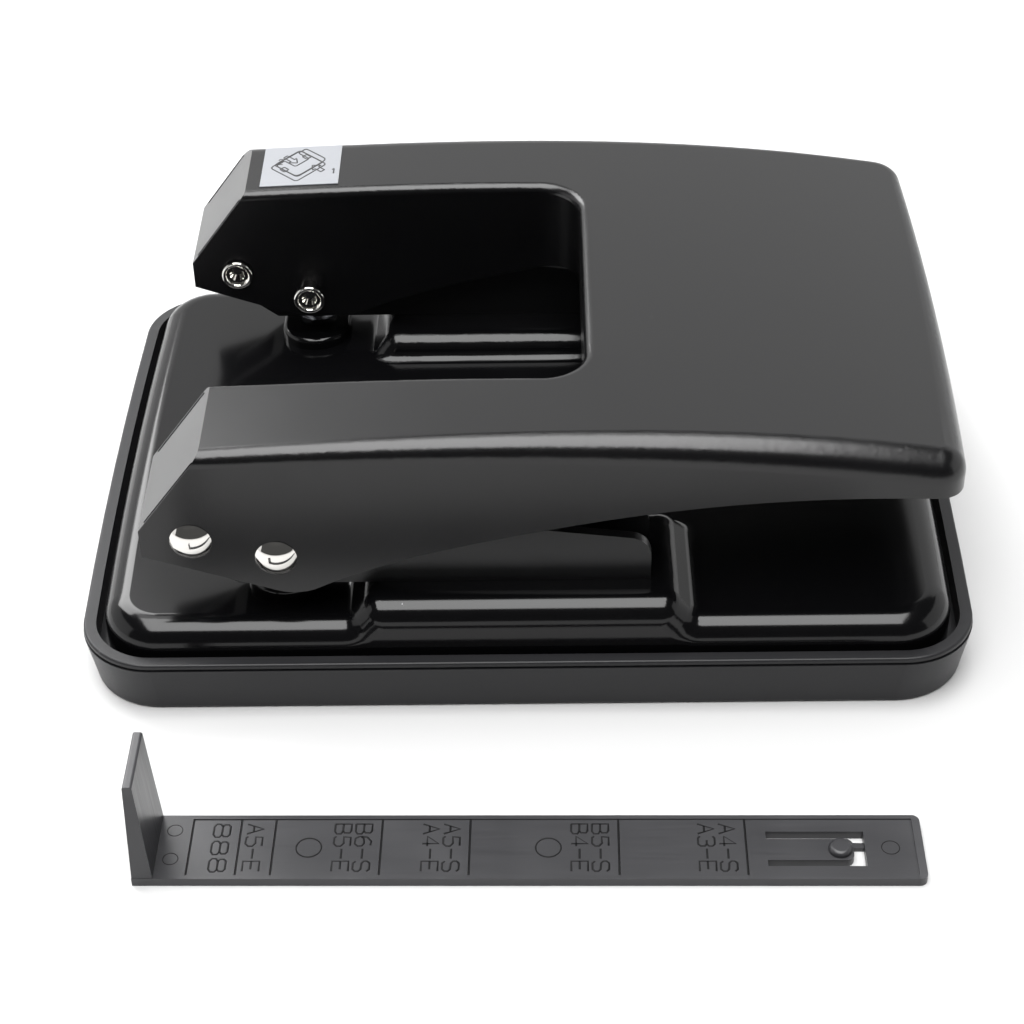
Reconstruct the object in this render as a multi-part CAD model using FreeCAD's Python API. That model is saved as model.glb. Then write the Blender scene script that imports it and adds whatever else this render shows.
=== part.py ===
import FreeCAD, Part
import math
import os
from FreeCAD import Vector

# Two-hole desk punch: chip tray, pressed base plate, two channel brackets,
# one pressed U-shaped handle, two sprung punches and a loose paper guide.
# Millimetres, +Z up. The origin is the centre of the tray's underside, +X runs
# toward the grip end of the handle and -Y is the near side.

os.makedirs("parts", exist_ok=True)

# ---- tray and base plate -------------------------------------------------
hole_spacing = 80.0
arm_half_width = 10.0
tray_side_margin = 5.8
tray_half_length = 75.33
end_bow = 1.1
tray_corner = 12.8
tray_wall_top = 9.35
tray_lip_height = 1.3
tray_draft = 1.2
tray_floor = 1.6
tray_wall = 5.0
tray_foot_round = 0.8
rim_inset = 0.1
rim_wall = 2.2
rim_round = 0.4
rim_groove = 0.45
ledge_height = 6.05

base_end_gap = 1.6
base_side_gap = 1.0
sheet = 1.5
bed_rise = 5.0
base_corner = 10.0
base_edge_round = 4.6

# ---- punching station ----------------------------------------------------
punch_setback = 34.53
paper_edge_distance = 11.2
punch_radius = 2.75
die_clearance = 0.04
slide_clearance = 0.06

block_rise = 4.25
block_slope = 3.6
block_root = 0.5
block_length = 57.6
block_inner_reach = 14.7
block_inner_lean = 1.6
block_top_round = 3.6
block_corner = 3.2
foot_round = 2.2

pad_radius = 6.55
pad_height = 2.3
pad_inner_shift = 4.55
pad_outer_shift = 1.35
pad_round = 1.0
die_outer_radius = 4.0

# ---- bracket -------------------------------------------------------------
bracket_sheet = 1.8
bracket_half_width = 5.4
bracket_length = 61.6
bracket_eye_radius = 5.2
bracket_tail_height = 8.85
bracket_tail_round = ((3.6, 0.0), (0.9, 1.4), (0.0, 4.0))
bracket_front_foot = 6.4
bracket_front_corner = (3.2, 5.5)
bush_radius = 3.6
pin_slot_play = 0.75
bracket_rivet_setback = 22.8
bracket_rivet_spacing = 32.0

# ---- lever ---------------------------------------------------------------
lever_short_arm = 13.6
pivot_rise = 3.8
drive_height = 9.05
handle_sheet = 1.5
handle_taper = 0.0155
grip_inset = 4.2
handle_end_bow = 1.2
handle_end_corner = 5.0
handle_fold = 2.4
handle_end_fold = 4.6
window_fold = 1.5
window_depth = 50.9
window_corner = 7.5
arm_nose = 8.3
flap_run = 11.1
flap_rise = 14.9
flap_foot_rise = 2.3
crown_shape = ((0.0, 0.0), (0.257, -1.0), (0.517, -0.8), (0.769, 1.2), (1.081, 6.9))
skirt_shape = ((0.390, 17.9), (0.583, 13.5), (0.816, 11.2), (1.081, 12.7))
knee_ahead = 3.3
knee_depth = 8.2
knee_round = 9.0
knee_shape = ((6.9, 3.4), (16.9, 7.03))
skirt_front_slope = 0.36
inner_flange_rise = 2.35
inner_flange_run = 15.0
flap_opening_depth = 1.0

travel_angle = 9.8
rivet_radius = 2.0
rivet_head_radius = 3.45
rivet_head_height = 1.5
rivet_tail_radius = 2.9
rivet_tail_height = 0.8
rivet_cup_radius = 2.05
rivet_cup_depth = 0.6
rivet_tail_lip = 0.35
rivet_dimple_radius = 1.4
rivet_dimple_end = 0.8
rivet_dimple_depth = 1.2
drive_tail_length = 4.0
pivot_tail_length = 1.1
running_clearance = 0.05
fixed_clearance = 0.02
washer_radius = 3.4
side_play = 0.15
bracket_rivet_head = 0.8

# ---- punch and spring ----------------------------------------------------
punch_gap = 2.15
punch_head_below_pin = 2.9
punch_head_above_pin = 3.7
punch_head_length = 10.4
punch_slot_run = 1.1
punch_slot_play = 0.1
punch_head_round = 1.2
punch_tip_hollow = 1.6
punch_tip_hollow_end = 0.4
punch_tip_hollow_depth = 1.0
spring_wire = 0.25
spring_radius = 3.15
spring_turns = 3

# ---- label ---------------------------------------------------------------
label_thickness = 0.15
label_setback = 2.6
label_length = 14.6
label_width = 14.1
label_side_shift = 0.65

# ---- paper guide ---------------------------------------------------------
guide_width = 13.6
guide_thickness = 1.6
guide_turn = -0.66
guide_place_x = -61.9
guide_place_y = -94.75
guide_corner = 1.2
guide_slot_setback = 17.2
guide_slot_play = 0.4
upstand_height = 20.9
upstand_foot = 3.4
upstand_top = 1.5
upstand_lean = 0.7
upstand_narrowing = 0.8
latch_zone = 27.8
latch_window_margin = 9.2
latch_window_length = 15.4
latch_window_width = 7.3
latch_window_shift = -0.45
latch_tongue_width = 4.5
latch_tongue_drop = 0.15
latch_gap = 1.8
latch_button_radius = 1.9
latch_button_height = 0.8
latch_tongue_round = 1.2
latch_button_setback = 0.2
latch_lug_inset = 0.3
latch_lug_width = 1.1
latch_lug_height = 0.8
mark_depth = 0.2
mark_width = 0.35
frame_inset = 0.8
mark_places = (8.4, 16.1, 21.6, 38.6, 52.6, 76.1, 96.1)

# ---- sizes that follow from the ones above -------------------------------
arm_centre = hole_spacing / 2
tray_half_width = arm_centre + arm_half_width + tray_side_margin
tray_rim_top = tray_wall_top + tray_lip_height
base_half_length = tray_half_length - rim_wall - base_end_gap
base_half_width = tray_half_width - rim_wall - base_side_gap
bed_height = tray_rim_top + bed_rise
block_top = bed_height + block_rise
pad_top = bed_height + pad_height
web_top = block_top + bracket_sheet

punch_x = punch_setback - tray_half_length
stop_x = punch_x + paper_edge_distance
block_back = stop_x + block_length
bracket_back = punch_x + bracket_length
drive_x = punch_x
drive_z = block_top + drive_height
pivot_x = punch_x - lever_short_arm
pivot_z = drive_z + pivot_rise
pin_travel = lever_short_arm * math.radians(travel_angle)

arm_front = pivot_x - arm_nose
flap_foot = pivot_z + flap_foot_rise
flap_top_x = arm_front + flap_run
flap_top = flap_foot + flap_rise
handle_end = tray_half_length - grip_inset
handle_length = handle_end - flap_top_x
handle_half_width = arm_centre + arm_half_width
window_edge = punch_x + window_depth
window_half = arm_centre - arm_half_width
flange_inner = arm_half_width - handle_sheet
knee_x = drive_x + knee_ahead
knee_z = drive_z - knee_depth

punch_tip = pad_top + punch_gap
punch_head_foot = drive_z - punch_head_below_pin
punch_head_top = drive_z + punch_head_above_pin

guide_length = mark_places[-1] + latch_zone
far = tray_half_width + 5
high = flap_top + 12


def save(shape, name):
    shape.exportStep("parts/" + name + ".step")


def block(x0, x1, y0, y1, z0, z1):
    return Part.makeBox(x1 - x0, y1 - y0, z1 - z0, Vector(x0, y0, z0))


def pin_y(x, z, radius, y0, y1):
    return Part.makeCylinder(radius, y1 - y0, Vector(x, y0, z), Vector(0, 1, 0))


def pin_z(x, y, radius, z0, z1):
    return Part.makeCylinder(radius, z1 - z0, Vector(x, y, z0), Vector(0, 0, 1))


def round_edges(shape, radius, wanted):
    edges = [edge for edge in shape.Edges if wanted(edge)]
    return shape.makeFillet(radius, edges)


def round_growing(shape, edges, front_radius, back_radius):
    # one rounding that grows from the front of each edge to its back
    document = FreeCAD.newDocument("rounding")
    body = document.addObject("Part::Feature", "body")
    body.Shape = shape
    rounded = document.addObject("Part::Fillet", "rounded")
    rounded.Base = body
    choices = []
    for number, candidate in enumerate(body.Shape.Edges, 1):
        if any(candidate.isSame(edge) for edge in edges):
            radii = [front_radius, back_radius]
            if candidate.Vertexes[0].X > candidate.Vertexes[-1].X:
                radii.reverse()
            choices.append((number, radii[0], radii[1]))
    rounded.Edges = choices
    document.recompute()
    result = rounded.Shape.copy()
    FreeCAD.closeDocument(document.Name)
    return result


def is_upright(edge):
    box = edge.BoundBox
    return box.ZLength > 0.2 and box.XLength < 2.0 and box.YLength < 2.0


def on_level(edge, height):
    box = edge.BoundBox
    return abs(box.ZMin - height) < 0.01 and abs(box.ZMax - height) < 0.01


def mirrored(shape, side):
    # the far side is drawn; the near side is its mirror image
    if side > 0:
        return shape
    return shape.mirror(Vector(0, 0, 0), Vector(0, 1, 0))


# ---- bowed rectangular forms (tray and base share the outline) -----------
def bowed_outline(half_length, half_width, z):
    a = Vector(-half_length, -half_width, z)
    b = Vector(half_length, -half_width, z)
    c = Vector(half_length, half_width, z)
    d = Vector(-half_length, half_width, z)
    right = Part.Arc(b, Vector(half_length + end_bow, 0, z), c).toShape()
    left = Part.Arc(d, Vector(-half_length - end_bow, 0, z), a).toShape()
    return Part.Wire([Part.makeLine(a, b), right, Part.makeLine(c, d), left])


def bowed_form(half_length, half_width, z0, z1, corner, draft=0.0):
    foot = bowed_outline(half_length - draft, half_width - draft, z0)
    head = bowed_outline(half_length, half_width, z1)
    solid = Part.makeLoft([foot, head], True, True)
    return round_edges(solid, corner, is_upright)


# ---- chip tray -----------------------------------------------------------
def guide_slot(y0, y1):
    half = guide_width / 2 + guide_slot_play
    middle = punch_x - guide_slot_setback
    z0 = ledge_height + 0.1
    z1 = z0 + guide_thickness + guide_slot_play
    return block(middle - half, middle + half, y0, y1, z0, z1)


def make_chip_tray():
    length = tray_half_length
    width = tray_half_width
    wall = bowed_form(length, width, 0, tray_wall_top, tray_corner, tray_draft)
    wall = round_edges(wall, tray_foot_round, lambda e: on_level(e, 0))
    neck_low = tray_wall_top - 0.01
    neck_top = tray_wall_top + rim_groove
    neck = bowed_form(length - rim_groove, width - rim_groove, neck_low,
                      neck_top, tray_corner - rim_groove)
    rim = bowed_form(length - rim_inset, width - rim_inset, neck_top, tray_rim_top,
                     tray_corner - rim_inset)
    rim = round_edges(rim, rim_round, lambda e: on_level(e, tray_rim_top))
    solid = wall.fuse([neck, rim]).removeSplitter()
    inner_corner = tray_corner - tray_wall
    cavity = bowed_form(length - tray_wall, width - tray_wall, tray_floor,
                        ledge_height, inner_corner)
    cavity = round_edges(cavity, tray_foot_round, lambda e: on_level(e, tray_floor))
    mouth = bowed_form(length - rim_wall, width - rim_wall, ledge_height,
                       tray_rim_top + 1, tray_corner - rim_wall)
    solid = solid.cut(cavity.fuse(mouth))
    return solid.cut(guide_slot(0, far))


# ---- pressed base plate --------------------------------------------------
def stop_block(inset):
    # raised block of one side: its sloping front foot is the paper stop
    z0 = bed_height - inset - block_root
    z1 = block_top - inset
    run = block_slope * (z1 - z0) / block_rise
    lean = block_inner_lean * (z1 - z0) / block_rise
    x0 = stop_x - block_slope * block_root / block_rise + inset
    x1 = block_back + block_slope * block_root / block_rise - inset
    y0 = arm_centre - block_inner_reach - block_inner_lean * block_root / block_rise + inset
    y1 = far
    foot = Part.makePolygon([Vector(x0, y0, z0), Vector(x1, y0, z0), Vector(x1, y1, z0),
                             Vector(x0, y1, z0), Vector(x0, y0, z0)])
    head = Part.makePolygon([Vector(x0 + run, y0 + lean, z1), Vector(x1 - run, y0 + lean, z1),
                             Vector(x1 - run, y1, z1), Vector(x0 + run, y1, z1),
                             Vector(x0 + run, y0 + lean, z1)])
    solid = Part.makeLoft([foot, head], True, True)

    def is_inner_corner(edge):
        box = edge.BoundBox
        return box.ZLength > 2.0 and box.YMax < y1 - 5

    solid = round_edges(solid, block_corner, is_inner_corner)

    def is_top_edge(edge):
        box = edge.BoundBox
        return on_level(edge, z1) and box.YMin < y1 - 1

    return round_edges(solid, block_top_round - inset, is_top_edge)


def base_form(inset):
    low_edge = ledge_height if inset == 0 else ledge_height - 1
    outline = bowed_form(base_half_length - inset, base_half_width - inset, low_edge,
                         block_top + 5, base_corner - inset)
    slab = block(-tray_half_length - end_bow, tray_half_length + end_bow, -far, far, low_edge,
                 bed_height - inset)
    blocks = [mirrored(stop_block(inset), side) for side in (1, -1)]
    solid = slab.fuse(blocks).removeSplitter().common(outline).removeSplitter()
    top = bed_height - inset
    limit = base_half_width - inset - 0.01
    block_reach = max(abs(stop_x), abs(block_back)) + block_slope

    def is_foot_edge(edge):
        box = edge.BoundBox
        return on_level(edge, top) and max(abs(box.XMin), abs(box.XMax)) < block_reach and \
            min(abs(box.YMin), abs(box.YMax)) < limit

    solid = round_edges(solid, foot_round + inset, is_foot_edge)

    def is_rim_edge(edge):
        box = edge.BoundBox
        if box.ZMin < top - 0.01:
            return False
        at_side = min(abs(box.YMin), abs(box.YMax)) > limit
        at_end = on_level(edge, top) and max(abs(box.XMin), abs(box.XMax)) > block_reach
        return at_side or at_end

    return round_edges(solid, base_edge_round - inset, is_rim_edge)


def die_pad(side):
    z0 = bed_height - sheet
    y0 = arm_centre - pad_inner_shift
    y1 = arm_centre - pad_outer_shift
    inner = pin_z(punch_x, y0, pad_radius, z0, pad_top)
    outer = pin_z(punch_x, y1, pad_radius, z0, pad_top)
    middle = block(punch_x - pad_radius, punch_x + pad_radius, y0, y1, z0, pad_top)
    solid = inner.fuse([outer, middle]).removeSplitter()
    solid = round_edges(solid, pad_round, lambda e: on_level(e, pad_top))
    return mirrored(solid, side)


def make_base_plate():
    solid = base_form(0).cut(base_form(sheet))
    for side in (1, -1):
        solid = solid.fuse(die_pad(side))
    solid = solid.removeSplitter()
    for side in (1, -1):
        y = side * arm_centre
        solid = solid.cut(pin_z(punch_x, y, die_outer_radius + fixed_clearance, 0, high))
        for x in bracket_rivet_places():
            solid = solid.cut(pin_z(x, y, rivet_radius + fixed_clearance, 0, high))
    return solid.cut(guide_slot(arm_centre, far))


def make_die_ring(side):
    y = side * arm_centre
    z0 = bed_height - sheet
    ring = pin_z(punch_x, y, die_outer_radius, z0, pad_top)
    hole = pin_z(punch_x, y, punch_radius + die_clearance, z0 - 1, high)
    return ring.cut(hole)


# ---- channel brackets ----------------------------------------------------
def bracket_rivet_places():
    first = punch_x + bracket_rivet_setback
    return (first, first + bracket_rivet_spacing)


def bracket_side_outline(y):
    ahead, below = bracket_front_corner
    front_low = Vector(pivot_x + bracket_front_foot, y, block_top)
    front_mid = Vector(pivot_x - ahead, y, pivot_z - below)
    nose = Vector(pivot_x - bracket_eye_radius, y, pivot_z)
    crown = Vector(pivot_x, y, pivot_z + bracket_eye_radius)
    tail_z = block_top + bracket_tail_height
    tail_top, tail_mid, tail_side = [Vector(bracket_back - run, y, tail_z - drop)
                                     for run, drop in bracket_tail_round]
    tail_low = Vector(bracket_back, y, block_top)
    edges = [
        Part.makeLine(front_low, front_mid),
        Part.Arc(front_mid, nose, crown).toShape(),
        Part.makeLine(crown, tail_top),
        Part.Arc(tail_top, tail_mid, tail_side).toShape(),
        Part.makeLine(tail_side, tail_low),
        Part.makeLine(tail_low, front_low),
    ]
    return Part.Face(Part.Wire(edges))


def make_bracket(side):
    y0 = arm_centre - bracket_half_width
    y1 = arm_centre + bracket_half_width
    solid = bracket_side_outline(y0).extrude(Vector(0, y1 - y0, 0))
    inner = block(arm_front, bracket_back + 1, y0 + bracket_sheet, y1 - bracket_sheet, web_top, high)
    solid = solid.cut(inner)
    solid = solid.cut(pin_y(pivot_x, pivot_z, rivet_radius + running_clearance, y0 - 1, y1 + 1))
    reach = rivet_radius + pin_slot_play
    slot = block(drive_x - 1 - reach, drive_x + reach, y0 - 1, y1 + 1,
                 drive_z - pin_travel - reach, drive_z + reach)
    solid = solid.cut(slot)
    solid = solid.cut(pin_z(punch_x, arm_centre, bush_radius + fixed_clearance, 0, web_top + 0.01))
    for x in bracket_rivet_places():
        solid = solid.cut(pin_z(x, arm_centre, rivet_radius + fixed_clearance, 0, web_top + 1))
    return mirrored(solid, side)


def make_bracket_rivets(side):
    under = block_top - sheet
    solids = []
    for x in bracket_rivet_places():
        thick = bracket_rivet_head
        shank = pin_z(x, arm_centre, rivet_radius, under - thick, web_top + thick)
        head = pin_z(x, arm_centre, rivet_head_radius, web_top, web_top + thick)
        tail = pin_z(x, arm_centre, rivet_head_radius, under - thick, under)
        solids.append(shank.fuse([head, tail]).removeSplitter())
    return mirrored(Part.makeCompound(solids), side)


def make_guide_bush(side):
    bush = pin_z(punch_x, arm_centre, bush_radius, block_top, web_top)
    hole = pin_z(punch_x, arm_centre, punch_radius + slide_clearance, 0, high)
    return mirrored(bush.cut(hole), side)


# ---- handle --------------------------------------------------------------
def lever_point(share, drop):
    # a place along the lever, from the top of its flap (0) to its end (1)
    return Vector(flap_top_x + share * handle_length, 0, flap_top - drop)


def crown_curve(inset):
    points = [lever_point(share, drop + inset) for share, drop in crown_shape]
    curve = Part.BSplineCurve()
    curve.interpolate(points)
    return curve.toShape(), points[0], points[-1]


def handle_side_form(inset):
    crown, start, end = crown_curve(inset)
    front = arm_front + inset
    corner = Vector(front, 0, flap_foot - inset * 0.55)
    foot = Vector(front, 0, ledge_height)
    back = Vector(end.x, 0, ledge_height)
    edges = [
        Part.makeLine(foot, corner),
        Part.makeLine(corner, start),
        crown,
        Part.makeLine(end, back),
        Part.makeLine(back, foot),
    ]
    face = Part.Face(Part.Wire(edges))
    face.translate(Vector(0, -far, 0))
    return face.extrude(Vector(0, 2 * far, 0))


def half_width_at(x):
    return handle_half_width - handle_taper * (x - flap_top_x)


def handle_plan_form(inset):
    x0 = arm_front - 10
    x1 = handle_end - inset
    y0 = half_width_at(x0) - inset
    y1 = half_width_at(x1) - inset
    a = Vector(x0, -y0, 0)
    b = Vector(x1, -y1, 0)
    c = Vector(x1, y1, 0)
    d = Vector(x0, y0, 0)
    end = Part.Arc(b, Vector(x1 + handle_end_bow, 0, 0), c).toShape()
    outline = Part.Wire([Part.makeLine(a, b), end, Part.makeLine(c, d), Part.makeLine(d, a)])
    solid = Part.Face(outline).extrude(Vector(0, 0, high))
    return round_edges(solid, handle_end_corner - inset,
                       lambda e: is_upright(e) and e.BoundBox.XMin > arm_front)


def window_form(inset):
    half = window_half + inset
    solid = block(arm_front - 10, window_edge + inset, -half, half, 0, high)
    return round_edges(solid, window_corner + inset,
                       lambda e: is_upright(e) and e.BoundBox.XMin > arm_front)


def handle_form(inset):
    solid = handle_side_form(inset).common(handle_plan_form(inset))
    solid = solid.cut(window_form(inset))
    top = max(solid.Faces, key=lambda f: f.BoundBox.ZMax * 1000 + f.Area)

    def is_window_edge(edge):
        box = edge.BoundBox
        return box.YMax < arm_centre and box.YMin > -arm_centre and box.XMax < window_edge + 9

    # the two long edges carry the growing fold round the end of the grip
    sides = []
    for edge in top.Edges:
        if edge.BoundBox.XLength > handle_length / 2 and not is_window_edge(edge):
            sides.append(edge)
    solid = round_growing(solid, sides, handle_fold - inset, handle_end_fold - inset)
    inside_now = []
    for edge in solid.Edges:
        box = edge.BoundBox
        if is_window_edge(edge) and box.ZMin > flap_top - 1.8 - inset and \
                box.XLength + box.YLength > 5:
            inside_now.append(edge)
    return solid.makeFillet(window_fold - inset * 0.6, inside_now)


def below_the_skirt():
    front_x = arm_front - 20
    knee = Vector(knee_x, 0, knee_z)
    front = Vector(front_x, 0, knee_z + skirt_front_slope * (knee_x - front_x))
    points = [knee + Vector(run, 0, rise) for run, rise in knee_shape]
    points += [lever_point(share, drop) for share, drop in skirt_shape]
    curve = Part.BSplineCurve()
    curve.interpolate(points)
    bottom_front = Vector(front_x, 0, 1)
    bottom_back = Vector(points[-1].x, 0, 1)
    edges = [
        Part.makeLine(front, knee),
        Part.makeLine(knee, points[0]),
        curve.toShape(),
        Part.makeLine(points[-1], bottom_back),
        Part.makeLine(bottom_back, bottom_front),
        Part.makeLine(bottom_front, front),
    ]
    face = Part.Face(Part.Wire(edges))
    face.translate(Vector(0, -far, 0))
    solid = face.extrude(Vector(0, 2 * far, 0))
    return round_edges(solid, knee_round, lambda e: abs(e.BoundBox.XMin - knee.x) < 0.01 and
                       abs(e.BoundBox.XMax - knee.x) < 0.01)


def make_handle():
    solid = handle_form(0).cut(handle_form(handle_sheet))
    solid = solid.cut(below_the_skirt())
    inner_reach = window_half + handle_sheet + 0.05
    foot = knee_z + inner_flange_rise
    solid = solid.cut(block(pivot_x, knee_x + inner_flange_run, -inner_reach, inner_reach, 0, foot))
    for side in (1, -1):
        y0 = arm_centre - flange_inner
        y1 = arm_centre + flange_inner
        opening = block(arm_front - 5, arm_front + 3, y0, y1, 0, flap_foot - flap_opening_depth)
        solid = solid.cut(mirrored(opening, side))
        for x, z in ((pivot_x, pivot_z), (drive_x, drive_z)):
            hole = pin_y(x, z, rivet_radius + fixed_clearance, window_half - 5, handle_half_width + 5)
            solid = solid.cut(mirrored(hole, side))
    return solid


# ---- rivets, pins and washers --------------------------------------------
def domed_pin(x, z, tail_length, side):
    y_out = half_width_at(x - rivet_head_radius)
    y_end = window_half - tail_length
    shank = pin_y(x, z, rivet_radius, y_end, y_out)
    rise = rivet_head_height
    ball_radius = (rivet_head_radius ** 2 + rise ** 2) / (2 * rise)
    ball = Part.makeSphere(ball_radius, Vector(x, y_out + rise - ball_radius, z))
    dome = ball.common(pin_y(x, z, rivet_head_radius, y_out, y_out + rise + 1))
    tail = pin_y(x, z, rivet_tail_radius, y_end, y_end + rivet_tail_height)
    cup = pin_y(x, z, rivet_cup_radius, y_end - 1, y_end + rivet_cup_depth)
    tail = tail.cut(cup)
    lip = min(rivet_tail_lip, (rivet_tail_radius - rivet_cup_radius) / 2.2)
    tail = round_edges(tail, lip, lambda e: e.BoundBox.YLength < 0.01 and
                       abs(e.BoundBox.YMin - y_end) < 0.01)
    solid = shank.cut(cup).fuse([dome, tail]).removeSplitter()
    dimple = Part.makeCone(rivet_dimple_radius, rivet_dimple_end, rivet_dimple_depth,
                           Vector(x, y_end + rivet_cup_depth - 0.01, z), Vector(0, 1, 0))
    return mirrored(solid.cut(dimple), side)


def make_pivot_washers(side):
    y_in = window_half + handle_sheet
    y_out = half_width_at(pivot_x + washer_radius) - handle_sheet - fixed_clearance
    gap = flange_inner - bracket_half_width
    solids = []
    for y0, y1 in ((y_in, y_in + gap - side_play), (y_out - gap + side_play, y_out)):
        ring = pin_y(pivot_x, pivot_z, washer_radius, y0, y1)
        hole = pin_y(pivot_x, pivot_z, rivet_radius + fixed_clearance, y0 - 1, y1 + 1)
        solids.append(ring.cut(hole))
    return mirrored(Part.makeCompound(solids), side)


# ---- punches and return springs ------------------------------------------
def make_punch(side):
    shank = pin_z(punch_x, arm_centre, punch_radius, punch_tip, punch_head_foot + 1)
    half = bracket_half_width - bracket_sheet - side_play
    middle = drive_x - (punch_slot_run - punch_slot_play) / 2
    head = block(middle - punch_head_length / 2, middle + punch_head_length / 2,
                 arm_centre - half, arm_centre + half, punch_head_foot, punch_head_top)
    head = round_edges(head, punch_head_round, lambda e: e.BoundBox.YLength > half)
    slot_radius = rivet_radius + running_clearance
    x0 = drive_x - punch_slot_run
    x1 = drive_x + punch_slot_play
    y0 = arm_centre - arm_half_width
    y1 = arm_centre + arm_half_width
    slot = block(x0, x1, y0, y1, drive_z - slot_radius, drive_z + slot_radius)
    slot = slot.fuse([pin_y(x0, drive_z, slot_radius, y0, y1),
                      pin_y(x1, drive_z, slot_radius, y0, y1)])
    solid = shank.fuse(head).removeSplitter().cut(slot)
    hollow = Part.makeCone(punch_tip_hollow, punch_tip_hollow_end, punch_tip_hollow_depth,
                           Vector(punch_x, arm_centre, punch_tip - 0.01), Vector(0, 0, 1))
    return mirrored(solid.cut(hollow), side)


def make_return_spring(side):
    z0 = web_top + spring_wire + running_clearance
    z1 = punch_head_foot - spring_wire - running_clearance
    rise = z1 - z0
    helix = Part.makeLongHelix(rise / spring_turns, rise, spring_radius)
    helix.translate(Vector(punch_x, side * arm_centre, z0))
    path = Part.Wire(helix.Edges)
    first = path.OrderedEdges[0]
    start = first.valueAt(first.FirstParameter)
    along = first.tangentAt(first.FirstParameter)
    ring = Part.Wire(Part.makeCircle(spring_wire, start, along))
    return path.makePipeShell([ring], True, True)


# ---- instruction label ---------------------------------------------------
def make_label():
    skin = handle_side_form(-label_thickness).cut(handle_side_form(0))
    x0 = flap_top_x + label_setback
    y0 = arm_centre - label_width / 2 - label_side_shift
    patch = block(x0, x0 + label_length, y0, y0 + label_width, flap_foot, high)
    return skin.common(patch)


# ---- paper guide ---------------------------------------------------------
def placed_guide(shape):
    shape.rotate(Vector(0, 0, 0), Vector(0, 0, 1), guide_turn)
    shape.translate(Vector(guide_place_x, guide_place_y, 0))
    return shape


def guide_upstand():
    foot = Part.makePolygon([Vector(0, 0, 0), Vector(upstand_foot, 0, 0),
                             Vector(upstand_foot, guide_width, 0), Vector(0, guide_width, 0),
                             Vector(0, 0, 0)])
    x0 = upstand_lean
    x1 = upstand_lean + upstand_top
    y0 = upstand_narrowing
    y1 = guide_width - upstand_narrowing
    z1 = upstand_height
    head = Part.makePolygon([Vector(x0, y0, z1), Vector(x1, y0, z1), Vector(x1, y1, z1),
                             Vector(x0, y1, z1), Vector(x0, y0, z1)])
    upstand = Part.makeLoft([foot, head], True, True)
    return round_edges(upstand, rim_round, lambda e: on_level(e, z1) and e.BoundBox.YLength > 5)


def guide_latch(x0, x1, middle):
    # a springy tongue that ends in a button, and the lug it stops against
    half = latch_tongue_width / 2
    top = guide_thickness - latch_tongue_drop
    tip = x1 - latch_gap
    tongue = block(x0 - 1, tip, middle - half, middle + half, 0, top)
    tongue = round_edges(tongue, latch_tongue_round, lambda e: is_upright(e) and e.BoundBox.XMin > x0)
    button_x = tip - latch_button_radius - latch_button_setback
    button_top = guide_thickness + latch_button_height
    button = pin_z(button_x, middle, latch_button_radius, 0.5, button_top)
    button = round_edges(button, latch_button_height * 0.9, lambda e: on_level(e, button_top))
    lug_y = middle + half - latch_lug_width - latch_lug_inset
    lug = block(tip - 1, x1 + 1, lug_y, lug_y + latch_lug_width, 0, latch_lug_height)
    return [tongue, button, lug]


def make_paper_guide():
    strip = block(0, guide_length, 0, guide_width, 0, guide_thickness)
    strip = round_edges(strip, guide_corner, lambda e: is_upright(e) and e.BoundBox.XMin > 1)
    solid = strip.fuse(guide_upstand()).removeSplitter()
    middle = guide_width / 2 + latch_window_shift
    x1 = guide_length - latch_window_margin
    x0 = x1 - latch_window_length
    half = latch_window_width / 2
    window = block(x0, x1, middle - half, middle + half, -1, guide_thickness + 1)
    solid = solid.cut(window).fuse(guide_latch(x0, x1, middle))
    for place in mark_places:
        groove = block(place - mark_width / 2, place + mark_width / 2, frame_inset,
                       guide_width - frame_inset, guide_thickness - mark_depth, guide_thickness + 1)
        solid = solid.cut(groove)
    y1 = guide_width - frame_inset
    line = block(mark_places[0], guide_length - 1.6 * frame_inset, y1 - mark_width, y1,
                 guide_thickness - mark_depth, guide_thickness + 1)
    x1 = guide_length - 1.6 * frame_inset
    end = block(x1 - mark_width, x1, frame_inset, y1, guide_thickness - mark_depth,
                guide_thickness + 1)
    return placed_guide(solid.cut(line.fuse(end)).removeSplitter())


# ---- build every piece ---------------------------------------------------
save(make_chip_tray(), "chip_tray")
save(make_base_plate(), "base_plate")
save(make_handle(), "handle")
save(make_label(), "instruction_label")
save(make_paper_guide(), "paper_guide")
for side, word in ((-1, "near"), (1, "far")):
    save(make_die_ring(side), "die_ring_" + word)
    save(make_bracket(side), "bracket_" + word)
    save(make_bracket_rivets(side), "bracket_rivets_" + word)
    save(make_guide_bush(side), "guide_bush_" + word)
    save(domed_pin(pivot_x, pivot_z, pivot_tail_length, side), "pivot_rivet_" + word)
    save(domed_pin(drive_x, drive_z, drive_tail_length, side), "drive_pin_" + word)
    save(make_pivot_washers(side), "pivot_washers_" + word)
    save(make_punch(side), "punch_" + word)
    save(make_return_spring(side), "return_spring_" + word)
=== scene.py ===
import math
import bpy
from mathutils import Matrix, Vector
from mathutils.bvhtree import BVHTree


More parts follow.
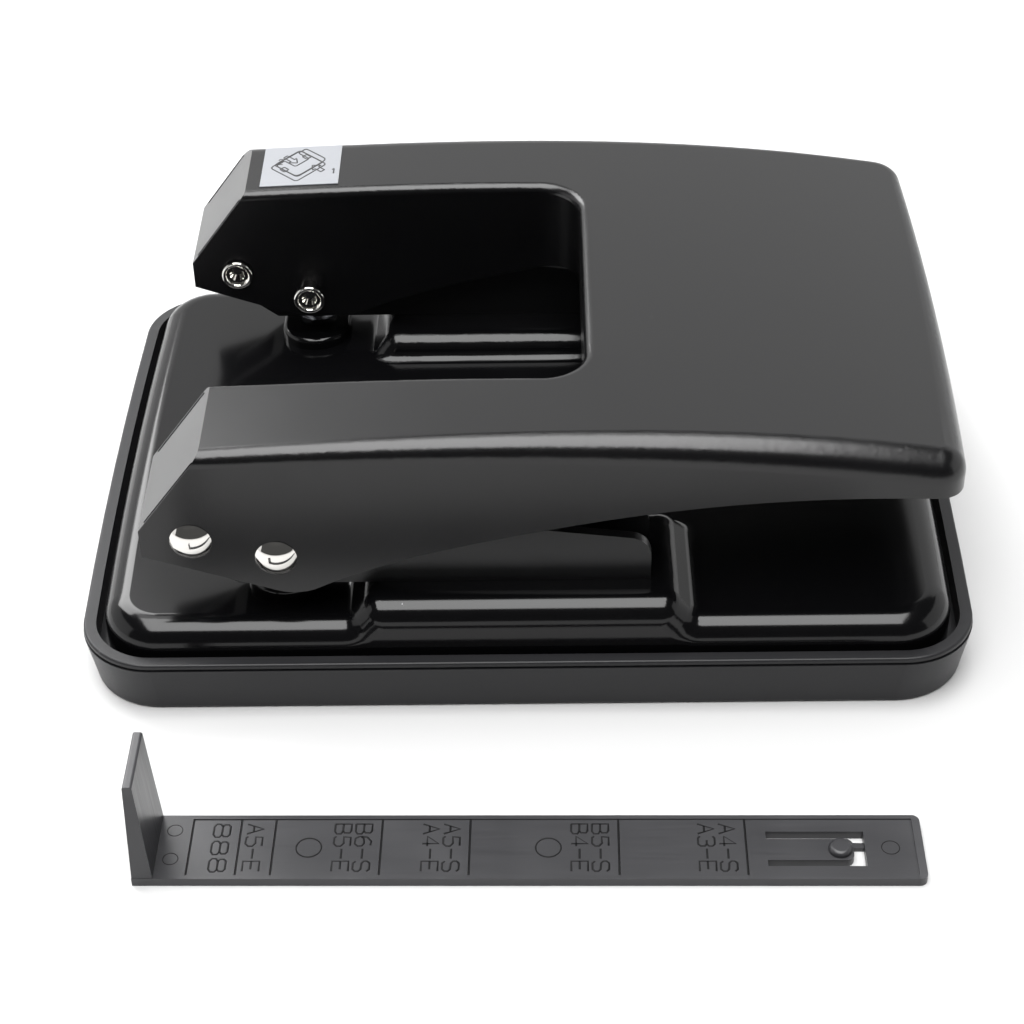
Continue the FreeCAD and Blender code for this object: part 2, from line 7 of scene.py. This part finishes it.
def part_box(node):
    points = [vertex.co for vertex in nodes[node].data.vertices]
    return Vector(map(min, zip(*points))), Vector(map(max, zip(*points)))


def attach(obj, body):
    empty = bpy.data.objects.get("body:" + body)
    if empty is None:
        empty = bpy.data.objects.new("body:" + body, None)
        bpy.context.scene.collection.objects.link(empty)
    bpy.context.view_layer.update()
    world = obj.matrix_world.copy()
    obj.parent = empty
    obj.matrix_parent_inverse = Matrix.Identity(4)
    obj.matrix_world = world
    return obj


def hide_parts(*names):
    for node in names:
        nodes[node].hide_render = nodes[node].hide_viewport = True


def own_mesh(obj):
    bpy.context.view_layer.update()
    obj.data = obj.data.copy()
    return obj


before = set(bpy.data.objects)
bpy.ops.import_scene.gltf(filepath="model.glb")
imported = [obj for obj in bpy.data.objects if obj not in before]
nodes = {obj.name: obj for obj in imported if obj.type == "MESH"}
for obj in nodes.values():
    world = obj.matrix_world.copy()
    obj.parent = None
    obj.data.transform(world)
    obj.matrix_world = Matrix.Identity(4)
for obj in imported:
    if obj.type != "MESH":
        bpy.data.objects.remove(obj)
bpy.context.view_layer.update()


# ---------------------------------------------------------------------------
# Chip tray. One injection-moulded piece of black polypropylene that clips on
# under the base plate and catches the chips. Its rim stands up all round.

def linear(code):
    channels = [int(code[i:i + 2], 16) / 255 for i in (1, 3, 5)]
    return [c / 12.92 if c <= 0.04045 else ((c + 0.055) / 1.055) ** 2.4 for c in channels] + [1.0]


def add_node(tree, kind, settings=(), inputs=(), links=()):
    made = tree.nodes.new(kind)
    for key, value in dict(settings).items():
        setattr(made, key, value)
    for key, value in dict(inputs).items():
        made.inputs[key].default_value = value
    for key, source in dict(links).items():
        tree.links.new(source, made.inputs[key])
    return made


def new_finish(name):
    finish = bpy.data.materials.new(name)
    finish.use_nodes = True
    tree = finish.node_tree
    shader = tree.nodes["Principled BSDF"]
    place = add_node(tree, "ShaderNodeTexCoord").outputs["Object"]
    return finish, tree, shader, place


def dress(node, finish):
    mesh = nodes[node].data
    if not mesh.materials:
        mesh.materials.append(finish)
    for i in range(len(mesh.materials)):
        mesh.materials[i] = finish


def moulded_polypropylene(name, shade, dark_shade, roughness, gloss,
                          grain_mm=0.35, flow_mm=0, wear=0.35):
    # Moulded polypropylene from a spark-eroded mould: an even matt grain, about a
    # third of a millimetre, and faint clouds where the melt flowed. Edges that are
    # handled go slightly paler.
    finish, tree, shader, place = new_finish(name)
    grain = add_node(tree, "ShaderNodeTexNoise",
                     inputs={"Scale": 1 / (grain_mm / 1000), "Detail": 3.0},
                     links={"Vector": place})
    cloud = add_node(tree, "ShaderNodeTexNoise", inputs={"Scale": 1 / 0.022, "Detail": 2.0},
                     links={"Vector": place})
    mix = add_node(tree, "ShaderNodeMix", {"data_type": "RGBA"},
                   links={"Factor": cloud.outputs["Fac"]})
    mix.inputs[6].default_value = linear(dark_shade)
    mix.inputs[7].default_value = linear(shade)
    worn = add_node(tree, "ShaderNodeNewGeometry").outputs["Pointiness"]
    edge = add_node(tree, "ShaderNodeMapRange",
                    inputs={"From Min": 0.52, "From Max": 0.62, "To Min": 0.0, "To Max": wear},
                    links={"Value": worn})
    pale = add_node(tree, "ShaderNodeMix", {"data_type": "RGBA"},
                    links={"Factor": edge.outputs["Result"]})
    tree.links.new(mix.outputs[2], pale.inputs[6])
    pale.inputs[7].default_value = linear("#4a4a4c")
    rough = add_node(tree, "ShaderNodeMapRange",
                     inputs={"To Min": roughness - 0.05, "To Max": roughness + 0.07},
                     links={"Value": grain.outputs["Fac"]})
    bump = add_node(tree, "ShaderNodeBump", inputs={"Strength": 0.15, "Distance": 0.00004},
                    links={"Height": grain.outputs["Fac"]})
    if flow_mm:
        # the melt ran lengthwise and left bands across it, flow_mm wide, with finer streaks along;
        # the bands vary the roughness, and they also paint the colour lighter where they are
        # strongest, a painted sheen
        run = add_node(tree, "ShaderNodeMapping",
                       inputs={"Scale": (1 / (flow_mm / 1000), 18.0, 18.0)},
                       links={"Vector": place})
        bands = add_node(tree, "ShaderNodeTexNoise", inputs={"Scale": 1.0, "Detail": 1.5},
                         links={"Vector": run.outputs[0]})
        fine = add_node(tree, "ShaderNodeMapping", inputs={"Scale": (90.0, 2400.0, 90.0)},
                        links={"Vector": place})
        streaks = add_node(tree, "ShaderNodeTexNoise", inputs={"Scale": 1.0, "Detail": 2.0},
                           links={"Vector": fine.outputs[0]})
        sheen = add_node(tree, "ShaderNodeMath", {"operation": "MULTIPLY"},
                         links={0: bands.outputs["Fac"], 1: streaks.outputs["Fac"]})
        tree.links.new(sheen.outputs[0], rough.inputs["Value"])
        rough.inputs["From Min"].default_value = 0.12
        rough.inputs["From Max"].default_value = 0.42
        rough.inputs["To Min"].default_value = roughness - 0.06
        rough.inputs["To Max"].default_value = roughness + 0.06
        # the same bands set the colour, lighter in the bands: a painted sheen
        tree.links.new(sheen.outputs[0], mix.inputs["Factor"])
    tree.links.new(pale.outputs[2], shader.inputs["Base Color"])
    tree.links.new(rough.outputs["Result"], shader.inputs["Roughness"])
    tree.links.new(bump.outputs["Normal"], shader.inputs["Normal"])
    shader.inputs["IOR"].default_value = 1.49
    shader.inputs["Specular IOR Level"].default_value = gloss
    return finish


dress("chip_tray", moulded_polypropylene("tray_polypropylene", "#1a1a1c", "#151517", 0.40, 0.33))


# ---------------------------------------------------------------------------
# Base plate. Deep-drawn sheet steel, dipped and stoved in gloss black enamel.
# It is the glossiest piece of the punch and carries a few specks of dust.

def stoved_enamel(name, shade, roughness, peel_mm, peel, speck_share, gloss=0.5):
    # Stoved enamel: a thick coat with a faint orange peel, about peel_mm from crest
    # to crest, slightly uneven gloss, and fine specks of dust caught in the coat.
    finish, tree, shader, place = new_finish(name)
    wave = add_node(tree, "ShaderNodeTexNoise",
                    inputs={"Scale": 1 / (peel_mm / 1000), "Detail": 1.5},
                    links={"Vector": place})
    haze = add_node(tree, "ShaderNodeTexNoise", inputs={"Scale": 1 / 0.016, "Detail": 3.0},
                    links={"Vector": place})
    specks = add_node(tree, "ShaderNodeTexVoronoi", {"feature": "F1"},
                      {"Scale": 1 / 0.0042, "Randomness": 1.0}, {"Vector": place})
    dot = add_node(tree, "ShaderNodeMath", {"operation": "LESS_THAN"}, {1: 0.035},
                   {0: specks.outputs["Distance"]})
    chosen = add_node(tree, "ShaderNodeMath", {"operation": "LESS_THAN"}, {1: speck_share},
                      {0: specks.outputs["Color"]})
    dust = add_node(tree, "ShaderNodeMath", {"operation": "MULTIPLY"},
                    links={0: dot.outputs[0], 1: chosen.outputs[0]})
    colour = add_node(tree, "ShaderNodeMix", {"data_type": "RGBA"},
                      links={"Factor": dust.outputs[0]})
    colour.inputs[6].default_value = linear(shade)
    colour.inputs[7].default_value = linear("#8c8c8e")
    rough = add_node(tree, "ShaderNodeMapRange",
                     inputs={"To Min": roughness - 0.03, "To Max": roughness + 0.04},
                     links={"Value": haze.outputs["Fac"]})
    bump = add_node(tree, "ShaderNodeBump", inputs={"Strength": peel, "Distance": 0.00003},
                    links={"Height": wave.outputs["Fac"]})
    tree.links.new(colour.outputs[2], shader.inputs["Base Color"])
    tree.links.new(rough.outputs["Result"], shader.inputs["Roughness"])
    tree.links.new(bump.outputs["Normal"], shader.inputs["Normal"])
    shader.inputs["IOR"].default_value = 1.5
    shader.inputs["Specular IOR Level"].default_value = gloss
    return finish


dress("base_plate", stoved_enamel("gloss_base_enamel", "#070708", 0.13, 2.4, 0.05, 0.30, 0.34))


# ---------------------------------------------------------------------------
# Dies, guide bushes and punches: turned and ground tool steel, left bare. The
# punch heads are polished where the drive pins rub on them.

def ground_steel(name, shade, roughness, ring_mm=0.25):
    # Turned and ground steel: fine tool rings about ring_mm apart catch the light
    # in bands, so the roughness runs round the piece.
    finish, tree, shader, place = new_finish(name)
    rings = add_node(tree, "ShaderNodeTexWave", {"wave_type": "BANDS", "bands_direction": "Z"},
                     {"Scale": 1 / (ring_mm / 1000) / 20, "Distortion": 0.6, "Detail": 2.0},
                     {"Vector": place})
    stain = add_node(tree, "ShaderNodeTexNoise", inputs={"Scale": 1 / 0.0012, "Detail": 2.0},
                     links={"Vector": place})
    both = add_node(tree, "ShaderNodeMath", {"operation": "MULTIPLY"},
                    links={0: rings.outputs["Fac"], 1: stain.outputs["Fac"]})
    rough = add_node(tree, "ShaderNodeMapRange",
                     inputs={"To Min": max(0.02, roughness - 0.05), "To Max": roughness + 0.08},
                     links={"Value": both.outputs[0]})
    tree.links.new(rough.outputs["Result"], shader.inputs["Roughness"])
    shader.inputs["Base Color"].default_value = linear(shade)
    shader.inputs["Metallic"].default_value = 1.0
    return finish


tool_steel = ground_steel("ground_tool_steel", "#b4b5b8", 0.18)
for piece in ("die_ring_near", "die_ring_far", "guide_bush_near", "guide_bush_far",
              "punch_near", "punch_far"):
    dress(piece, tool_steel)


# ---------------------------------------------------------------------------
# Return springs. Three turns of drawn spring wire round each punch, between
# the bracket's web and the punch head. They shorten as the punch goes down.

def grow(name, points, edges, tree, sizes, finish, radii=()):
    # runs a node tree on a plain skeleton and keeps the mesh that comes out
    mesh = bpy.data.meshes.new(name)
    mesh.from_pydata(points, edges, [])
    if radii:
        mesh.attributes.new("mark_radius", "FLOAT", "POINT").data.foreach_set("value", radii)
    piece = bpy.data.objects.new(name, mesh)
    bpy.context.collection.objects.link(piece)
    shape = piece.modifiers.new("shape", "NODES")
    shape.node_group = tree
    wanted = dict(sizes, Finish=finish)
    for socket in tree.interface.items_tree:
        if socket.item_type == "SOCKET" and socket.in_out == "INPUT" and socket.name in wanted:
            shape[socket.identifier] = wanted[socket.name]
    ready = piece.evaluated_get(bpy.context.evaluated_depsgraph_get())
    made = bpy.data.meshes.new_from_object(ready)
    piece.modifiers.clear()
    piece.data = made
    return piece


def new_tree(name, sizes):
    tree = bpy.data.node_groups.new(name, "GeometryNodeTree")
    tree.interface.new_socket("Geometry", in_out="INPUT", socket_type="NodeSocketGeometry")
    for size in sizes:
        tree.interface.new_socket(size, in_out="INPUT", socket_type="NodeSocketFloat")
    tree.interface.new_socket("Finish", in_out="INPUT", socket_type="NodeSocketMaterial")
    tree.interface.new_socket("Geometry", in_out="OUTPUT", socket_type="NodeSocketGeometry")
    given = tree.nodes.new("NodeGroupInput").outputs
    return tree, given


def finish_tree(tree, given, geometry):
    real = add_node(tree, "GeometryNodeRealizeInstances", links={"Geometry": geometry})
    coated = add_node(tree, "GeometryNodeSetMaterial",
                      links={"Geometry": real.outputs[0], "Material": given["Finish"]})
    add_node(tree, "NodeGroupOutput", links={"Geometry": coated.outputs[0]})


coil_tree, given = new_tree("coil_spring", ("Turns", "Coil Radius", "Rise", "Wire Radius"))
coil = add_node(coil_tree, "GeometryNodeCurveSpiral", inputs={"Resolution": 48},
                links={"Rotations": given["Turns"], "Start Radius": given["Coil Radius"],
                       "End Radius": given["Coil Radius"], "Height": given["Rise"]})
wire = add_node(coil_tree, "GeometryNodeCurvePrimitiveCircle", inputs={"Resolution": 14},
                links={"Radius": given["Wire Radius"]})
wound = add_node(coil_tree, "GeometryNodeCurveToMesh", inputs={"Fill Caps": True},
                 links={"Curve": coil.outputs[0], "Profile Curve": wire.outputs[0]})
finish_tree(coil_tree, given, wound.outputs[0])

drawn_wire = ground_steel("drawn_spring_wire", "#8f9095", 0.28)
wire_radius = 0.00025
coil_radius = 0.00315
for side in ("near", "far"):
    node = "return_spring_" + side
    low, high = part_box(node)
    rise = high.z - low.z - 2 * wire_radius
    spring = grow("coil_" + side, [(0, 0, 0)], [], coil_tree,
                  {"Turns": 3.0, "Coil Radius": coil_radius, "Rise": rise,
                   "Wire Radius": wire_radius},
                  drawn_wire)
    punch_low, punch_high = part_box("punch_" + side)
    middle = (punch_low + punch_high) / 2
    spring.data.transform(Matrix.Translation((middle.x, middle.y, low.z + wire_radius)))
    for face in spring.data.polygons:
        face.use_smooth = True
    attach(spring, "base")
    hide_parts(node)
    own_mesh(spring)


# ---------------------------------------------------------------------------
# Channel brackets: folded sheet steel, painted satin black, riveted to the
# base with two zinc-plated rivets each.

bracket_paint = stoved_enamel("satin_bracket_paint", "#0c0c0d", 0.30, 1.2, 0.05, 0.0)
for piece in ("bracket_near", "bracket_far"):
    dress(piece, bracket_paint)
zinc_plate = ground_steel("zinc_plate", "#9da0a4", 0.30)
for piece in ("bracket_rivets_near", "bracket_rivets_far",
              "pivot_washers_near", "pivot_washers_far"):
    dress(piece, zinc_plate)


# ---------------------------------------------------------------------------
# Lever. One U-shaped pressing of sheet steel in semi-gloss black enamel, with
# a white film label on its far arm that shows how the punch is used.

dress("handle", stoved_enamel("lever_enamel", "#070708", 0.24, 1.6, 0.06, 0.10))


def label_film(name, shade):
    # Printed polyester film: smooth and satin, with the faintest mottle of the glue.
    finish, tree, shader, place = new_finish(name)
    mottle = add_node(tree, "ShaderNodeTexNoise", inputs={"Scale": 1 / 0.0015, "Detail": 2.0},
                      links={"Vector": place})
    rough = add_node(tree, "ShaderNodeMapRange", inputs={"To Min": 0.38, "To Max": 0.50},
                     links={"Value": mottle.outputs["Fac"]})
    tree.links.new(rough.outputs["Result"], shader.inputs["Roughness"])
    shader.inputs["Base Color"].default_value = linear(shade)
    shader.inputs["IOR"].default_value = 1.5
    return finish


dress("instruction_label", label_film("white_label_film", "#85878b"))

# One tree lays a flat stroke of a given width and thickness along every line.
stroke_tree, given = new_tree("flat_stroke", ("Line Width", "Line Thickness"))
lines = add_node(stroke_tree, "GeometryNodeMeshToCurve", links={"Mesh": given["Geometry"]})
level = add_node(stroke_tree, "GeometryNodeSetCurveNormal", {"mode": "Z_UP"},
                 links={"Curve": lines.outputs[0]})
strip = add_node(stroke_tree, "GeometryNodeCurvePrimitiveQuadrilateral",
                 links={"Width": given["Line Width"], "Height": given["Line Thickness"]})
inked = add_node(stroke_tree, "GeometryNodeCurveToMesh", inputs={"Fill Caps": True},
                 links={"Curve": level.outputs[0], "Profile Curve": strip.outputs[0]})
finish_tree(stroke_tree, given, inked.outputs[0])


def chain(lines):
    # open lines of points, as one skeleton of points and edges
    points, edges = [], []
    for line in lines:
        start = len(points)
        points += [tuple(p) for p in line]
        edges += [(start + i, start + i + 1) for i in range(len(line) - 1)]
    return points, edges


def rounded(corners, share=0.22, steps=5):
    # a closed outline with its corners rounded
    out = []
    count = len(corners)
    for i in range(count):
        a, b, c = (Vector(corners[(i + k) % count]) for k in (-1, 0, 1))
        p = b + (a - b) * share
        q = b + (c - b) * share
        for k in range(steps + 1):
            t = k / steps
            out.append(p * (1 - t) ** 2 + b * 2 * t * (1 - t) + q * t * t)
    return out + [out[0]]


strokes = {
    "1": [[(.2, .75), (.5, 1), (.5, 0)]],
    "2": [[(0, .8), (.2, 1), (.8, 1), (1, .8), (1, .6), (0, 0), (1, 0)]],
    "3": [[(0, .9), (.2, 1), (.8, 1), (1, .85), (1, .65), (.8, .52), (.4, .52)],
          [(.8, .52), (1, .38), (1, .15), (.8, 0), (.2, 0), (0, .12)]],
    "4": [[(.75, 0), (.75, 1), (0, .3), (1, .3)]],
    "5": [[(.95, 1), (.1, 1), (.05, .58), (.7, .6), (1, .42),
           (1, .18), (.75, 0), (.15, 0), (0, .12)]],
    "6": [[(.9, .95), (.5, 1), (.1, .75), (0, .3), (.2, .03), (.75, 0), (1, .2), (.95, .45),
           (.7, .57), (.2, .52), (.03, .38)]],
    "8": [[(.2, .52), (.05, .65), (.05, .88), (.2, 1), (.8, 1), (.95, .88), (.95, .65), (.8, .52),
           (.2, .52)],
          [(.2, .52), (0, .38), (0, .14), (.2, 0), (.8, 0), (1, .14), (1, .38), (.8, .52)]],
    "A": [[(0, 0), (.5, 1), (1, 0)], [(.2, .4), (.8, .4)]],
    "B": [[(0, 0), (0, 1), (.7, 1), (.9, .9), (.9, .6), (.7, .5), (0, .5)],
          [(.7, .5), (1, .38), (1, .12), (.75, 0), (0, 0)]],
    "E": [[(1, 1), (0, 1), (0, 0), (1, 0)], [(0, .5), (.8, .5)]],
    "S": [[(1, .85), (.8, 1), (.2, 1), (0, .85), (0, .65), (.2, .52), (.8, .48), (1, .35), (1, .15),
           (.8, 0), (.2, 0), (0, .15)]],
    "-": [[(0, .5), (1, .5)]],
}

# The picture: a punch seen from a corner, an arrow for the paper and one for the press.
origin = Vector((0.10, 0.47))
along = Vector((0.36, 0.42))
across_way = Vector((0.36, -0.38))
lift = Vector((0.0, 0.09))


def drawn(outline, raised=0.0):
    return [origin + along * s + across_way * t + lift * raised for s, t in outline]


picture = [
    rounded(drawn([(0, 0), (1, 0), (1, 1), (0, 1)]), 0.10),
    rounded(drawn([(.07, .06), (.93, .06), (.93, .94), (.07, .94)], 0.7), 0.10),
    rounded(drawn([(0, .2), (0, 1), (1, 1), (1, .2), (.74, .2),
                   (.74, .62), (.28, .62), (.28, .2)], 1.4), 0.16),
    rounded(drawn([(.80, .30), (.94, .30), (.94, .48), (.80, .48)], 0.4), 0.2),
    rounded(drawn([(.06, .30), (.20, .30), (.20, .48), (.06, .48)], 0.4), 0.2),
    drawn([(.45, -.02), (.45, .26), (.38, .26), (.51, .44),
           (.64, .26), (.57, .26), (.57, -.02), (.45, -.02)], 0.6),
    drawn([(.62, 1.34), (.62, 1.12), (.70, 1.12), (.56, .94),
           (.42, 1.12), (.50, 1.12), (.50, 1.34), (.62, 1.34)], 1.6),
]
for digit, place in (("2", (0.20, 0.55)), ("1", (0.90, 0.26))):
    for line in strokes[digit]:
        picture.append([Vector(place) + Vector((a * 0.055, b * 0.13)) for a, b in line])

label_low, label_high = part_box("instruction_label")
label_mesh = nodes["instruction_label"].data
label_skin = BVHTree.FromPolygons([v.co for v in label_mesh.vertices],
                                  [tuple(p.vertices) for p in label_mesh.polygons])
line_thickness = 0.00004
line_step = 0.025


def divided(line):
    # short steps, so that a line follows the curve of the label
    out = [line[0]]
    for a, b in zip(line, line[1:]):
        count = max(1, math.ceil((b - a).length / line_step))
        out += [a.lerp(b, (k + 1) / count) for k in range(count)]
    return out


def on_label(spot):
    x = label_low.x + (label_high.x - label_low.x) * spot.x
    y = label_low.y + (label_high.y - label_low.y) * spot.y
    hit = label_skin.ray_cast(Vector((x, y, label_high.z + 0.01)), Vector((0, 0, -1)))[0]
    z = hit.z if hit else label_high.z
    return (x, y, z + line_thickness / 2)


printing_ink = label_film("grey_printing_ink", "#1c1c1e")
drawing = grow("label_drawing", *chain([[on_label(p) for p in divided(line)] for line in picture]),
               stroke_tree, {"Line Width": 0.00026, "Line Thickness": line_thickness}, printing_ink)
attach(drawing, "lever")


# The flap at the front of each arm is folded down between the flanges, which leaves
# a fine dark seam just inside each of its side edges.
handle_low, handle_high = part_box("handle")
handle_mesh = nodes["handle"].data
handle_skin = BVHTree.FromPolygons([v.co for v in handle_mesh.vertices],
                                   [tuple(p.vertices) for p in handle_mesh.polygons])
flap_run = 0.0111
seam_inset = 0.0006
arm_outer = handle_high.y
arm_inner = 0.0300
seams = []
for y in (arm_outer - seam_inset, arm_inner + seam_inset):
    for side in (-1, 1):
        line = []
        for k in range(2, 19):
            start = Vector((handle_low.x + flap_run * k / 20, side * y, handle_high.z + 0.01))
            hit = handle_skin.ray_cast(start, Vector((0, 0, -1)))[0]
            if hit and (not line or (hit - line[-1]).length < 0.003):
                line.append(hit + Vector((0, 0, 0.00001)))
        if len(line) > 1:
            seams.append(line)
seam_shade = stoved_enamel("seam_enamel", "#020202", 0.6, 1.6, 0.0, 0.0, 0.05)
flap_seams = grow("flap_seams", *chain(seams), stroke_tree,
                  {"Line Width": 0.00030, "Line Thickness": 0.00012}, seam_shade)
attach(flap_seams, "lever")


# ---------------------------------------------------------------------------
# Pivot rivets and drive pins: nickel-plated steel with polished domed heads.

nickel = ground_steel("polished_nickel", "#e2e0dc", 0.07, 0.12)
for piece in ("pivot_rivet_near", "pivot_rivet_far", "drive_pin_near", "drive_pin_far"):
    dress(piece, nickel)


# ---------------------------------------------------------------------------
# Paper guide: moulded black polypropylene with the paper sizes engraved in single strokes,
# and the round marks that the mould's ejector pins leave. The strokes and rings are drawn
# in a darker polypropylene, a painted shade for the shade in their grooves.

dress("paper_guide", moulded_polypropylene("guide_polypropylene", "#303033", "#29292b",
                                           0.36, 0.5, 0.35, 11.0))

guide_width = 0.0136
guide_thickness = 0.0016
guide_turn = math.radians(-0.66)
guide_low, guide_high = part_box("paper_guide")
guide_corner = Vector((guide_low.x, guide_high.y - guide_width * math.cos(guide_turn), 0))
turned = Matrix.Rotation(guide_turn, 4, "Z")
mark_height = 0.0026
mark_width = 0.0021
mark_pitch = 0.00265
mark_start = 0.01165
stroke_thickness = 0.00003


def on_guide(x, y, depth=0.0):
    return Matrix.Translation(guide_corner) @ turned @ Vector((x, y, guide_thickness - depth))


def engraved_row(text, row_x, pitch, width):
    # reads from the far edge towards the near one, its letters' tops to the right
    lines = []
    for i, letter in enumerate(text):
        for line in strokes[letter]:
            lines.append([on_guide(row_x - mark_height / 2 + b * mark_height,
                                   mark_start - i * pitch - a * width) for a, b in line])
    return lines


rows = [("888", 0.0131, 0.0037, 0.0028), ("A5-E", 0.0184, mark_pitch, mark_width)]
for first, second, place in (("B6-S", "B5-E", 0.0386), ("A5-S", "A4-E", 0.0526),
                             ("B5-S", "B4-E", 0.0761), ("A4-S", "A3-E", 0.0961)):
    rows.append((first, place - 0.0029, mark_pitch, mark_width))
    rows.append((second, place - 0.0062, mark_pitch, mark_width))
engraving = []
for text, row_x, pitch, width in rows:
    engraving += engraved_row(text, row_x, pitch, width)
# the lines that divide the sizes lie in the bottom of their moulded grooves and are drawn darker, a
# painted shade of the groove
frame_inset = 0.0008
groove_depth = 0.00018
for place in (0.0084, 0.0161, 0.0216, 0.0386, 0.0526, 0.0761, 0.0961):
    engraving.append([on_guide(place, frame_inset, groove_depth),
                      on_guide(place, guide_width - frame_inset, groove_depth)])
# a darker polypropylene for the strokes and rings: painted shade in their grooves
painted_groove_shade = moulded_polypropylene("engraving_painted_shade", "#131314", "#101011",
                                       0.5, 0.2, wear=0.0)
marks = grow("guide_marks", *chain(engraving), stroke_tree,
             {"Line Width": 0.00034, "Line Thickness": stroke_thickness}, painted_groove_shade)
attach(marks, "guide")

# Each ejector pin leaves a thin ring; the tree sets one on every point at its own size. The ring is
# drawn in the darker polypropylene, a painted shade of its fine step.
ring_tree, given = new_tree("ejector_ring", ("Ring Width",))
outline = add_node(ring_tree, "GeometryNodeCurvePrimitiveCircle",
                   inputs={"Resolution": 40, "Radius": 1.0})
ridge = add_node(ring_tree, "GeometryNodeCurvePrimitiveCircle", inputs={"Resolution": 6},
                 links={"Radius": given["Ring Width"]})
ring = add_node(ring_tree, "GeometryNodeCurveToMesh",
                links={"Curve": outline.outputs[0], "Profile Curve": ridge.outputs[0]})
radius_here = add_node(ring_tree, "GeometryNodeInputNamedAttribute", {"data_type": "FLOAT"},
                       {"Name": "mark_radius"})
spots = add_node(ring_tree, "GeometryNodeMeshToPoints", links={"Mesh": given["Geometry"]})
placed = add_node(ring_tree, "GeometryNodeInstanceOnPoints",
                  links={"Points": spots.outputs[0], "Instance": ring.outputs[0],
                         "Scale": radius_here.outputs[0]})
finish_tree(ring_tree, given, placed.outputs[0])

pin_marks = ((0.0056, 0.0103, 0.0012), (0.0056, 0.0042, 0.0012), (0.0272, 0.0066, 0.0020),
             (0.0650, 0.0066, 0.0020), (0.1187, 0.0066, 0.0014))
ring_points = [on_guide(x, y) - Vector((0, 0, 0.00002)) for x, y, radius in pin_marks]
# the rings take the painted groove shade
ejector = grow("ejector_marks", ring_points, [], ring_tree, {"Ring Width": 0.07},
               painted_groove_shade, [radius for x, y, radius in pin_marks])
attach(ejector, "guide")


# ---------------------------------------------------------------------------
# Studio: a pale floor, a large softbox overhead, white walls and the camera.

floor_mesh = bpy.data.meshes.new("studio_floor")
reach = 3.0
floor_corners = [(-reach, -reach, 0), (reach, -reach, 0), (reach, reach, 0), (-reach, reach, 0)]
floor_mesh.from_pydata(floor_corners, [], [(0, 1, 2, 3)])
floor = bpy.data.objects.new("studio_floor", floor_mesh)
bpy.context.collection.objects.link(floor)
floor_paint, _, floor_shader, _ = new_finish("pale_floor")
floor_shader.inputs["Base Color"].default_value = linear("#c0c0c0")
floor_shader.inputs["Roughness"].default_value = 0.95
floor_shader.inputs["Specular IOR Level"].default_value = 0.0
floor_mesh.materials.append(floor_paint)
bpy.context.scene.view_settings.view_transform = "Standard"


def soft_light(name, place, aim, width, height, radiance):
    lamp = bpy.data.lights.new(name, "AREA")
    lamp.shape = "RECTANGLE"
    lamp.size = width
    lamp.size_y = height
    lamp.energy = radiance * math.pi * width * height
    holder = bpy.data.objects.new(name, lamp)
    holder.location = place
    holder.rotation_euler = (Vector(aim) - Vector(place)).to_track_quat("-Z", "Y").to_euler()
    bpy.context.collection.objects.link(holder)
    return holder


soft_light("overhead_softbox", (-0.08, -0.33, 1.2), (-0.08, -0.33, 0), 1.04, 1.28, 8.2)
soft_light("softbox_edge", (-0.08, 0.5, 1.2), (-0.08, 0.5, 0), 1.04, 0.38, 3.0)
soft_light("back_wall", (0.0, 1.7, 0.95), (0, 0, 0.95), 4.0, 1.9, 1.0)
soft_light("rear_fill", (-0.50, 0.55, 0.60), (-0.32, 0.34, 0), 0.5, 0.5, 9.0)
soft_light("left_wall", (-1.9, 0.3, 0.7), (0, 0.3, 0.7), 2.6, 1.4, 0.9)
soft_light("right_wall", (1.9, 0.3, 0.7), (0, 0.3, 0.7), 2.6, 1.4, 0.9)

# The rest of the room is an even dim grey, so no side of the punch faces a black void.
room_grey = 0.25
room_strength = 0.32
room = bpy.data.worlds.new("studio_room")
room.use_nodes = True
room.node_tree.nodes["Background"].inputs["Color"].default_value = (room_grey, room_grey,
    room_grey, 1.0)
room.node_tree.nodes["Background"].inputs["Strength"].default_value = room_strength
bpy.context.scene.world = room

# The camera stands in front of the punch and looks down at it. The angles are in radians.
camera_place = (0.00267, -0.34081, 0.27093)
sensor_width_mm = 36.0
lens_mm = 81.51
yaw = -0.01634
pitch = 0.67487
roll = 0.02086
forward = Vector((math.sin(yaw) * math.cos(pitch), math.cos(yaw) * math.cos(pitch),
                  -math.sin(pitch)))
right = Vector((math.cos(yaw), -math.sin(yaw), 0))
down = forward.cross(right)
across = right * math.cos(roll) + down * math.sin(roll)
below = down * math.cos(roll) - right * math.sin(roll)
eye = bpy.data.cameras.new("studio_camera")
eye.sensor_width = sensor_width_mm
eye.lens = lens_mm
eye.clip_start = 0.01
camera = bpy.data.objects.new("studio_camera", eye)
camera.matrix_world = Matrix.Translation(camera_place) @ Matrix(
    (across, -below, -forward)).transposed().to_4x4()
bpy.context.collection.objects.link(camera)
bpy.context.scene.camera = camera
